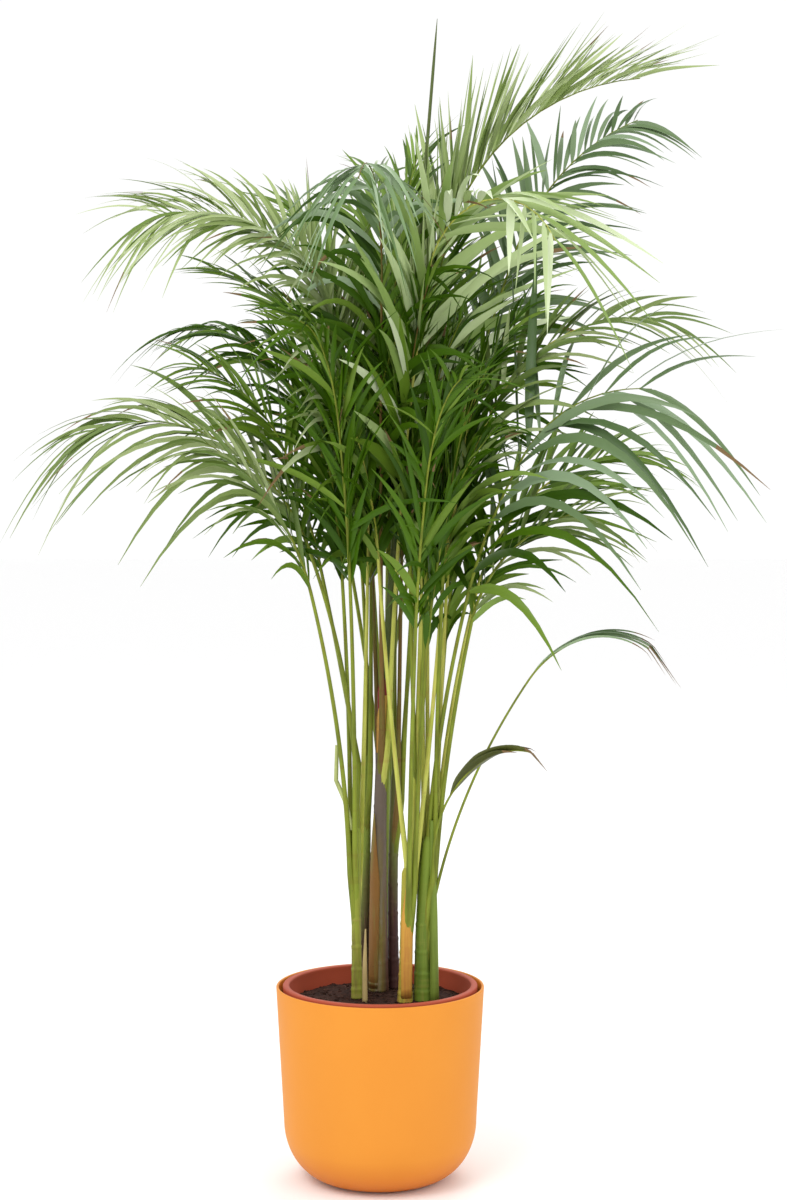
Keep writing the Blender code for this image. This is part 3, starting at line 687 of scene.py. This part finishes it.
def make_soil():
    """Bed of soil with loose crumbs on it, inside the nursery pot."""
    rings, turns = SOIL_RINGS, SOIL_TURNS
    vertices, faces = [(0.0, 0.0, float(soil_height(0.0, 0.0)))], []
    for ring in range(1, rings + 1):
        radius = SOIL_RADIUS * ring / rings
        for turn in range(turns):
            a = 2 * np.pi * turn / turns
            x, y = radius * np.cos(a), radius * np.sin(a)
            vertices.append((x, y, float(soil_height(x, y) + RNG.normal(0, SOIL_GRAIN))))
    for turn in range(turns):
        after = (turn + 1) % turns
        faces.append((0, 1 + turn, 1 + after))
        for ring in range(rings - 1):
            a, b = 1 + ring * turns, 1 + (ring + 1) * turns
            faces.append((a + turn, b + turn, b + after, a + after))
    edge = 1 + (rings - 1) * turns
    low = len(vertices)
    for turn in range(turns):
        a = 2 * np.pi * turn / turns
        x, y = NURSERY_BOTTOM_RADIUS * np.cos(a), NURSERY_BOTTOM_RADIUS * np.sin(a)
        vertices.append((x, y, NURSERY_BOTTOM + NURSERY_WALL + GAP))
    for turn in range(turns):
        after = (turn + 1) % turns
        faces.append((edge + turn, low + turn, low + after, edge + after))
    faces.append(tuple(low + turn for turn in reversed(range(turns))))
    finish = soil_material("soil_surface")
    bed = mesh_piece("soil_bed", vertices, faces, [finish])
    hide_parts("soil")
    make_crumbs(finish)


def make_crumbs(finish):
    """Loose crumbs and bark chips, as one joined mesh of small uneven lumps."""
    bpy.ops.object.select_all(action="DESELECT")
    bpy.ops.mesh.primitive_ico_sphere_add(subdivisions=1, radius=1.0)
    lump = bpy.context.object
    shape = np.array([v.co for v in lump.data.vertices])
    sides = [tuple(p.vertices) for p in lump.data.polygons]
    bpy.data.objects.remove(lump)
    vertices, faces = [], []
    for _ in range(CRUMBS):
        radius = SOIL_RADIUS * CRUMB_REACH * np.sqrt(RNG.uniform())
        angle = RNG.uniform(0, 2 * np.pi)
        x, y = radius * np.cos(angle), radius * np.sin(angle)
        size = RNG.uniform(*CRUMB_SIZES) * np.array([1, RNG.uniform(0.5, 1.0), RNG.uniform(0.35, 0.7)])
        turn = RNG.uniform(0, 2 * np.pi)
        spin = np.array([[np.cos(turn), -np.sin(turn), 0], [np.sin(turn), np.cos(turn), 0], [0, 0, 1]])
        lumpy = shape * (1 + RNG.uniform(-CRUMB_LUMPS, CRUMB_LUMPS, (len(shape), 1))) * size
        placed = lumpy @ spin.T + np.array([x, y, float(soil_height(x, y)) + size[2] * 0.4])
        faces += [tuple(i + len(vertices) for i in side) for side in sides]
        vertices += placed.tolist()
    crumbs = mesh_piece("soil_crumbs", vertices, faces, [finish], smooth=False)


def cane_point(cane, share):
    """Place on a cane's axis at a share of its height."""
    foot = np.array([*cane.foot, SOIL_TOP])
    bow = np.array([cane.bow * np.sin(np.pi * share), 0.0, 0.0])
    return foot + (np.array(cane.top) - foot) * share + bow


def direction(lean, heading):
    """Unit way that leans from upright toward a heading, both in degrees."""
    lean, heading = np.radians(lean), np.radians(heading)
    level = np.sin(lean)
    return np.stack([level * np.cos(heading), level * np.sin(heading), np.cos(lean)], -1)


def unit(vectors):
    """Vectors at length one."""
    return vectors / np.linalg.norm(vectors, axis=-1, keepdims=True)


def tube_mesh(points, radii, sides, flat=None):
    """Rings round a path, with closed ends. flat narrows each ring along its second way."""
    points = np.asarray(points, float)
    ways = unit(np.gradient(points, axis=0))
    first = unit(np.cross(ways, np.array([0.0, 1.0, 0.02])))
    second = np.cross(ways, first)
    turns = np.linspace(0, 2 * np.pi, sides, endpoint=False)
    flat = np.ones(len(points)) if flat is None else np.asarray(flat)
    radii = np.asarray(radii)[:, None, None]
    ring = np.cos(turns)[None, :, None] * first[:, None, :]
    ring = ring + np.sin(turns)[None, :, None] * second[:, None, :] * flat[:, None, None]
    rows = points[:, None, :] + ring * radii
    vertices = rows.reshape(-1, 3)
    faces = []
    for row in range(len(points) - 1):
        a, b = row * sides, (row + 1) * sides
        for turn in range(sides):
            after = (turn + 1) % sides
            faces.append((a + turn, a + after, b + after, b + turn))
    faces.append(tuple(range(sides))[::-1])
    last = (len(points) - 1) * sides
    faces.append(tuple(last + turn for turn in range(sides)))
    return vertices, faces


def cane_profile(cane, shares, rings):
    """Radii along a cane: taper, a wider foot, a low ridge at each leaf scar and a rounded top."""
    radii = cane.foot_radius + (cane.top_radius - cane.foot_radius) * shares
    radii = radii + CANE_FLARE * (1 - shares) ** 8
    height = shares * (cane.top[2] - SOIL_TOP)
    for ring in rings:
        radii = radii + SCAR_RIDGE[0] * np.exp(-(((height - ring) / SCAR_RIDGE[1]) ** 2))
        radii = radii - SCAR_GROOVE[0] * np.exp(-(((height - ring - SCAR_STEP) / SCAR_GROOVE[1]) ** 2))
    return radii * np.sqrt(np.clip((1 - shares) / 0.06, 0.02, 1))


def make_canes():
    """Each cane with its leaf scars, closer together toward its foot."""
    for name, cane in CANES.items():
        length = cane.top[2] - SOIL_TOP
        rings, place = [], 0.010
        while place < length * SCARS_END:
            rings.append(place)
            place += 0.020 + 0.035 * place / length + RNG.uniform(-0.003, 0.003)
        shares = np.linspace(0, 1, CANE_ROWS)
        points = np.array([cane_point(cane, s) for s in shares])
        radii = cane_profile(cane, shares, rings)
        vertices, faces = tube_mesh(points, radii, CANE_SIDES)
        # only the main cane gets painted shade on its right flank
        shaded_flank = MAIN_SHADED_FLANK if name == "main" else None
        finish = skin_material("cane_skin_" + name, *SKINS[name], shaded_flank)
        piece = mesh_piece("stem_" + name, vertices, faces, [finish])
        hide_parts("cane_" + name)


def make_wraps():
    """Split sheaths and bracts, each a thin curved strip round its cane that narrows to its tip."""
    rows, columns = WRAP_ROWS, WRAP_COLUMNS
    for name, wrap in WRAPS.items():
        cane, vertices, faces = CANES[wrap.cane], [], []
        for share in np.linspace(0, 1, rows):
            height = wrap.low + (wrap.high - wrap.low) * share
            on_cane = min((height - SOIL_TOP) / (cane.top[2] - SOIL_TOP), 1.0)
            axis = cane_point(cane, on_cane)
            radius = cane.foot_radius + (cane.top_radius - cane.foot_radius) * on_cane + WRAP_LIFT
            half = wrap.high_half + (wrap.low_half - wrap.high_half) * np.interp(share, *WRAP_OUTLINE)
            turns = np.radians(np.linspace(wrap.facing - half, wrap.facing + half, columns))
            ways = np.stack([np.cos(turns), np.sin(turns), 0 * turns], 1)
            outer = axis + ways * (radius + WRAP_THICKNESS + WRAP_FLARE * share)
            inner = axis + ways * (radius + WRAP_FLARE * share)
            vertices += outer.tolist() + inner[::-1].tolist()
        around = 2 * columns
        for row in range(rows - 1):
            for i in range(around):
                a, b = row * around, (row + 1) * around
                j = (i + 1) % around
                faces.append((a + i, a + j, b + j, b + i))
        faces.append(tuple(range(around))[::-1])
        faces.append(tuple((rows - 1) * around + i for i in range(around)))
        finish = skin_material("wrap_skin_" + name, wrap.base, wrap.patch, wrap.base)
        mesh_piece(name, vertices, faces, [finish])
        "cane_" + wrap.cane


def make_stubs():
    """The cut stalk at the left, the dry stub at the canes' feet and the bare stalk at the right."""
    for name, (places, radii, colour) in STUBS.items():
        shares = np.linspace(0, 1, len(places))
        fine = np.linspace(0, 1, STUB_ROWS)
        points = np.stack([np.interp(fine, shares, np.array(places)[:, k]) for k in range(3)], 1)
        vertices, faces = tube_mesh(points, np.interp(fine, shares, radii), RIB_SIDES)
        dark = tuple(STUB_SHADE * c for c in colour)
        finish = skin_material("skin_" + name, colour, dark, colour)
        mesh_piece(name, vertices, faces, [finish])


def frond_foot(frond):
    """Where a petiole starts: on top of its cane, or beside it lower down."""
    cane = CANES[frond.cane]
    share = (frond.height - SOIL_TOP) / (cane.top[2] - SOIL_TOP)
    foot = np.array([*cane_point(cane, min(share, 1.0))[:2], frond.height + GAP])
    if frond.height < cane.top[2]:
        radius = cane.foot_radius + (cane.top_radius - cane.foot_radius) * share
        foot = foot + (radius + PETIOLE_FOOT_RADIUS + 2 * GAP) * direction(90, frond.heading)
    return foot


def frond_path(frond):
    """STEPS moves along the petiole and STEPS along the rachis, from the foot."""
    share = np.linspace(0, 1, STEPS + 1)
    foot_lean, neck_lean, half_lean, tip_lean = frond.leans
    petiole = foot_lean + (neck_lean - foot_lean) * share
    blade = np.interp(share, [0, 0.5, 1], [neck_lean, half_lean, tip_lean])
    leans = np.concatenate([petiole, blade[1:]])
    lengths = np.repeat([frond.petiole / STEPS, frond.blade / STEPS], STEPS)
    moves = direction((leans[1:] + leans[:-1]) / 2, frond.heading) * lengths[:, None]
    foot = frond_foot(frond)
    return np.concatenate([[foot], foot + np.cumsum(moves, 0)])


def blade_axes(frond, path, share):
    """Place on the rachis at a share of the blade, with the ways along, across and up from it."""
    blade = path[STEPS:]
    step = min(int(share * STEPS), STEPS - 1)
    move = blade[step + 1] - blade[step]
    root = blade[step] + move * (share * STEPS - step)
    along = unit(move)
    heading = np.radians(frond.heading)
    across = np.array([-np.sin(heading), np.cos(heading), 0.0])
    up = np.cross(along, across)
    if np.cos(heading) < FACING:
        across = -across
    roll = np.radians(frond.roll)
    turned_across = np.cos(roll) * across + np.sin(roll) * up
    turned_up = np.cos(roll) * up - np.sin(roll) * across
    return root, along, turned_across, turned_up


def leaflet_length(frond, share):
    """Leaflets are longest a third of the way along the blade and shorter toward its end."""
    swell = LEAFLET_BASE + LEAFLET_SWELL * np.sin(np.pi * min(1.0, share * 1.25 + 0.1))
    return frond.reach * swell * (1 - LEAFLET_LOSS * share**3)


def leaflet_rows(frond, path, share, side, width, scatter):
    """One leaflet's rows of three points: left edge, folded middle and right edge."""
    root, along, across, up = blade_axes(frond, path, share)
    sweep = frond.sweep + (scatter.end - frond.sweep) * share**SWEEP_EASE
    sweep = np.radians(max(sweep + scatter.sweep, LEAST_SWEEP))
    lift = np.radians(frond.lift + scatter.lift)
    out = np.cos(lift) * across * side + np.sin(lift) * up
    way = np.cos(sweep) * along + np.sin(sweep) * out
    length = leaflet_length(frond, share) * scatter.length * np.interp(share, *NECK)
    u = np.linspace(0, 1, LEAFLET_ROWS)[:, None]
    slack = 1 - ROLL_SLACK * side * np.sin(np.radians(frond.roll))
    fall = length * frond.droop * slack * scatter.droop
    rise = length * ARCH * np.sin(np.pi * u) * (1 - u)
    middle = root + way * length * u + np.array([0.0, 0.0, 1.0]) * (rise - fall * u**FALL_POWER)
    tangent = unit(np.gradient(middle, axis=0))
    twist = np.radians(scatter.twist)
    face = np.cos(twist) * up + np.sin(twist) * np.cross(along, up)
    edge = unit(np.cross(tangent, face[None, :]))
    normal = np.cross(edge, tangent)
    half = 0.5 * width * np.interp(u[:, 0], *OUTLINE)[:, None]
    fold = normal * half * FOLD
    return np.stack([middle - edge * half + fold, middle, middle + edge * half + fold], 1)


def leaflet_faces(start, rows=LEAFLET_ROWS):
    """Faces of one leaflet whose rows start at a vertex."""
    faces = []
    for row in range(rows - 1):
        a, b = start + 3 * row, start + 3 * (row + 1)
        faces += [(a, a + 1, b + 1, b), (a + 1, a + 2, b + 2, b + 1)]
    return faces


def leaflet_scatter(name, frond):
    """A leaflet's own differences from its frond's rule."""
    loose = LOOSER.get(name, 1.0)
    return Scatter(
        RNG.normal(0, SPREAD * loose),
        RNG.normal(0, SPREAD * loose),
        RNG.uniform(*LENGTHS) * LONGER.get(name, 1.0),
        RNG.uniform(*DROOPS) * SLACKER.get(name, 1.0),
        RNG.normal(0, TWIST * loose),
        FANS.get(name, min(TIP_SWEEP, frond.sweep)),
    )


def leaflet_shade(frond, share):
    """Which of a piece's colours a leaflet is dealt: those of the inner share, darker as painted shade,
    come second.
    """
    shade = int(RNG.choice(len(SHADE_ODDS), p=SHADE_ODDS))
    starts = LOWER.get(frond.tint, ("", 0.0))[1]
    return shade + len(SHADE_ODDS) * (share < starts + RNG.normal(0, LOWER_SCATTER))


def make_leaflets(name, frond, path):
    """All leaflets of one frond, joined, each dealt a colour of the frond's tint."""
    spacing = PAIR_SPACING * frond.width * SPARSE.get(name, 1.0)
    pairs = max(LEAST_PAIRS, int(frond.blade / spacing))
    dry = 2 * len(SHADE_ODDS)  # the dry tip's colour comes after the tint's two sets
    vertices, faces, colours = [], [], []
    for pair in range(pairs):
        for side in (-1, 1):
            share = np.clip((pair + 0.2 + 0.3 * (side > 0) + RNG.uniform(-0.2, 0.2)) / pairs, 0, 1)
            size = frond.width * RNG.uniform(*WIDTHS) * (1 - TIP_SLIMMING * share**2)
            scatter = leaflet_scatter(name, frond)
            if RNG.uniform() < STRAY_SHARE and share > STRAY_FROM:
                scatter, size = scatter._replace(length=STRAY[0], droop=STRAY[1]), size * STRAY[2]
            rows = leaflet_rows(frond, path, share, side, size, scatter)
            shade = leaflet_shade(frond, share)
            tip = RNG.uniform() < TIP_BROWN_SHARE
            made = leaflet_faces(len(vertices))
            faces += made
            vertices += rows.reshape(-1, 3).tolist()
            colours += [dry if tip and i >= len(made) - 4 else shade for i in range(len(made))]
    finish_leaves(name, vertices, faces, colours, frond.tint)


def finish_leaves(name, vertices, faces, colours, tint):
    """Join leaflets into one piece with its tint's colours, then its inner colours and the dry tip's."""
    inner = LOWER.get(tint, (tint, 0.0))[0]
    paints = [LEAF_PAINTS[kind, i] for kind in (tint, inner) for i in range(len(SHADE_ODDS))]
    piece = mesh_piece("leaflets_" + name, vertices, faces, paints + [LEAF_PAINTS["tip", 0]])
    piece.data.polygons.foreach_set("material_index", colours)
    piece.data.update()
    if name in FRONDS:
        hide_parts("blade_" + name)


def make_young_leaf(name, frond, path):
    """A young leaf whose few leaflets still lie along its midrib, as long folded ribbons."""
    vertices, faces, colours = [], [], []
    for start, end, offset, wide in YOUNG_RIBBONS[name]:
        u = np.linspace(0, 1, YOUNG_ROWS)
        shares = start + (end - start) * u
        axes = [blade_axes(frond, path, min(share, 1.0)) for share in shares]
        middle = np.array([root + across * offset * t**1.5 for (root, _, across, _), t in zip(axes, u)])
        beyond = np.clip(shares - 1.0, 0, None)[:, None] * frond.blade
        middle = middle + (np.array([along for _, along, _, _ in axes]) + SAG) * beyond
        tangent = unit(np.gradient(middle, axis=0))
        edge = unit(np.cross(tangent, np.array([up for _, _, _, up in axes])))
        half = 0.5 * wide * np.interp(u, *YOUNG_OUTLINE)[:, None]
        lean = np.radians(YOUNG_TWIST)
        edge = np.cos(lean) * edge + np.sin(lean) * np.cross(edge, tangent)
        fold = np.cross(edge, tangent) * half * YOUNG_FOLD
        rows = np.stack([middle - edge * half + fold, middle, middle + edge * half + fold], 1)
        made = leaflet_faces(len(vertices), YOUNG_ROWS)
        faces += made
        vertices += rows.reshape(-1, 3).tolist()
        shade = int(RNG.choice(3))
        colours += [2 * len(SHADE_ODDS) if i >= len(made) - 8 else shade for i in range(len(made))]
    finish_leaves(name, vertices, faces, colours, frond.tint)


def sheath_points(frond, path):
    """A stalk's lowest stretch, which wraps onto its cane below the foot, with radii."""
    cane = CANES[frond.cane]
    shares = np.linspace(0, 1, SHEATH_ROWS + 1)[:-1]
    low = max(frond.height - SHEATH_LENGTH, SOIL_TOP + 0.02)
    points, radii = [], []
    for share in shares:
        height = low + (frond.height - low) * share
        on_cane = min((height - SOIL_TOP) / (cane.top[2] - SOIL_TOP), 1.0)
        axis = cane_point(cane, on_cane)
        radius = cane.foot_radius + (cane.top_radius - cane.foot_radius) * on_cane
        ease = share * share * (3 - 2 * share)
        points.append(axis + (path[0] - axis) * ease * np.array([1, 1, 0]))
        radii.append(radius * 0.9 * (1 - ease) + PETIOLE_FOOT_RADIUS * ease)
    return points, radii


def make_rib(name, frond, path):
    """Stalk and midrib of one frond as one tapering limb."""
    scale = YOUNG_SHARE if name.startswith("young") else 1.0
    stalk = np.linspace(PETIOLE_FOOT_RADIUS, PETIOLE_NECK_RADIUS, STEPS + 1)[:-1] * scale
    stalk = stalk * np.interp(np.arange(STEPS), (0, 5), (1.0, SLIMMER))
    midrib = np.linspace(PETIOLE_NECK_RADIUS * scale * SLIMMER, RACHIS_TIP_RADIUS, STEPS + 1)
    points, radii = sheath_points(frond, path)
    points = np.concatenate([points, path])
    radii = np.concatenate([np.array(radii), stalk, midrib])
    vertices, faces = tube_mesh(points, radii, RIB_SIDES)
    piece = mesh_piece("rib_" + name, vertices, faces, [STALK_SKINS[frond.stalk]])
    if name in FRONDS:
        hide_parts("petiole_" + name)


def make_spear():
    """Unopened leaf: a narrow folded spear."""
    foot = np.array(CANES["main"].top)
    way = direction(SPEAR_LEAN, 0)
    shares = np.linspace(0, 1, SPEAR_ROWS)
    points = foot + way * SPEAR_LENGTH * shares[:, None]
    radii = SPEAR_RADII[0] + (SPEAR_RADII[1] - SPEAR_RADII[0]) * shares + SPEAR_FLARE * (1 - shares) ** 3
    closing = np.sqrt(np.clip((1 - shares) / (1 - SPEAR_POINT), 0.03, 1))
    radii = radii * np.where(shares > SPEAR_POINT, closing, 1)
    vertices, faces = tube_mesh(points, radii, RIB_SIDES, np.full(SPEAR_ROWS, SPEAR_FLAT))
    finish = skin_material("spear_skin", *SPEAR_SKIN)
    piece = mesh_piece("spear", vertices, faces, [finish])
    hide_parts("spear_leaf")


def make_floor():
    """Plain pale floor."""
    bpy.ops.object.select_all(action="DESELECT")
    bpy.ops.mesh.primitive_plane_add(size=FLOOR_SIZE, location=(0, 0, 0))
    floor = bpy.context.object
    floor.name = "floor"
    made, _, shader = new_material("floor_paint", 0.9)
    shader.inputs["Base Color"].default_value = (*FLOOR_COLOUR, 1.0)
    floor.data.materials.append(made)


def area_light(name, place, aim, size, power):
    """A soft square light that faces a point."""
    light = bpy.data.lights.new(name, "AREA")
    light.shape, light.size, light.energy = "SQUARE", size, power
    held = bpy.data.objects.new(name, light)
    held.location = place
    held.rotation_euler = (Vector(aim) - Vector(place)).to_track_quat("-Z", "Y").to_euler()
    bpy.context.scene.collection.objects.link(held)


def make_lights():
    """Bright even room light, a soft key from the upper left, a fill from the right and one behind."""
    world = bpy.data.worlds.new("room")
    bpy.context.scene.world = world
    world.use_nodes = True
    background = world.node_tree.nodes["Background"]
    background.inputs["Color"].default_value = (1.0, 1.0, 1.0, 1.0)
    background.inputs["Strength"].default_value = ROOM_LIGHT
    for name, (place, aim, size, power) in LIGHTS.items():
        area_light(name, place, (0, 0, aim), size, power)


def make_camera():
    """Camera at the photograph's angle."""
    data = bpy.data.cameras.new("camera")
    data.lens = CAMERA_LENS
    data.sensor_width = 36.0
    camera = bpy.data.objects.new("camera", data)
    camera.location = CAMERA_PLACE
    camera.rotation_euler = (np.radians(CAMERA_TILT), 0, 0)
    bpy.context.scene.collection.objects.link(camera)
    bpy.context.scene.camera = camera
    bpy.context.scene.view_settings.view_transform = "Standard"


LEAF_PAINTS = {
    (tint, i): leaf_material(f"leaf_{tint}_{i}", colour)
    for tint, colours in TINTS.items()
    for i, colour in enumerate(colours)
}
LEAF_PAINTS["tip", 0] = leaf_material("leaf_tip_dry", TIP_BROWN, 0.7)
STALK_SKINS = {
    name: skin_material("stalk_skin_" + name, base, patch, tuple(c * k for c, k in zip(base, STALK_RING)))
    for name, (base, patch) in STALKS.items()
}

make_cover_pot()
make_nursery_pot()
make_soil()
make_canes()
make_wraps()
make_stubs()
make_spear()
for frond_name, one in {**FRONDS, **INNER}.items():
    line = frond_path(one)
    make_rib(frond_name, one, line)
    if frond_name in YOUNG_RIBBONS:
        make_young_leaf(frond_name, one, line)
    else:
        make_leaflets(frond_name, one, line)
make_floor()
make_lights()
make_camera()
